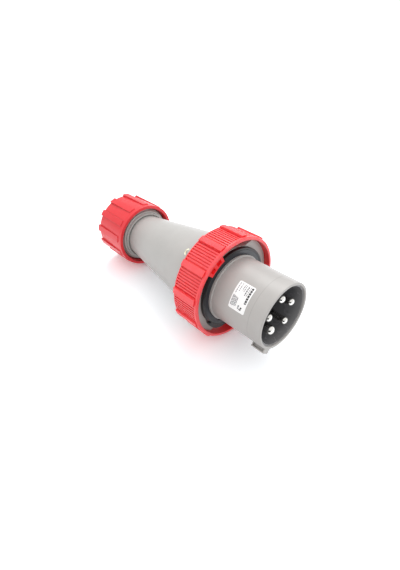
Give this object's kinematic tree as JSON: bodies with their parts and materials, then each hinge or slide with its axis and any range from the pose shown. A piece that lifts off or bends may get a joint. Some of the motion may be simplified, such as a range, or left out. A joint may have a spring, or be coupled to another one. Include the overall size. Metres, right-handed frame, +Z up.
{
  "type": "industrial pin and sleeve plug",
  "caption": "Watertight industrial pin and sleeve power plug: grey shroud with pins and key, red bayonet locking ring, tapered grey housing and red cable gland nut.",
  "frame": {"origin": "floor point under the middle of the plug's bounding box, as it lies", "axes": "+X towards the open front (the plug's own axis runs along +X, nose up by its resting tilt), +Z up, +Y to the left seen from behind"},
  "size_m": [0.2708, 0.114, 0.1165],
  "materials": {
    "grey_shell": "light warm grey moulded plastic, fine satin grain",
    "red_shell": "bright red moulded plastic, satin",
    "face_rubber": "black-grey rubber, matte",
    "seal_rubber": "black rubber, matte",
    "dark_insulator": "dark grey moulded plastic",
    "insert_brass": "turned brass",
    "screw_zinc": "yellow passivated zinc plating",
    "white_nylon": "natural nylon",
    "plated_contact": "bright nickel plating over brass"
  },
  "bodies": {
    "plug_body": {"front_shroud": "grey_shell", "screw_inserts": "insert_brass", "flange_gasket": "face_rubber", "rear_housing": "grey_shell", "body_seal": "seal_rubber", "screw_washers": "seal_rubber", "housing_screws": "screw_zinc", "pin_carrier": "dark_insulator", "pin_retainer": "dark_insulator", "retainer_screws": "screw_zinc", "terminal_screws": "screw_zinc", "gland_seal": "seal_rubber", "clamp_collet": "white_nylon", "pin_earth": "plated_contact", "pin_l1": "plated_contact", "pin_l2": "plated_contact", "pin_l3": "plated_contact", "pin_neutral": "plated_contact"},
    "locking_ring": {"locking_ring": "red_shell"},
    "gland_slide": {"slip_ring": "white_nylon"},
    "gland_nut": {"gland_nut": "red_shell"}
  },
  "joints": [
    {"name": "ring_turn", "type": "hinge", "parent": "plug_body", "child": "locking_ring", "pos_m": [0.05473, 0, 0.05837], "axis": [0.9946, 0, 0.1036], "range_deg": [0, 38]},
    {"name": "gland_travel", "type": "slide", "parent": "plug_body", "child": "gland_slide", "axis": [-0.9946, 0, -0.1036], "range_m": [0, 0.02]},
    {"name": "gland_turn", "type": "hinge", "parent": "gland_slide", "child": "gland_nut", "pos_m": [-0.10674, 0, 0.04154], "axis": [-0.9946, 0, -0.1036], "range_deg": [0, 1800]}
  ],
  "couplings": [
    {"joint": "gland_travel", "follows": "gland_turn", "m_per_rad": 0.00063662}
  ]
}
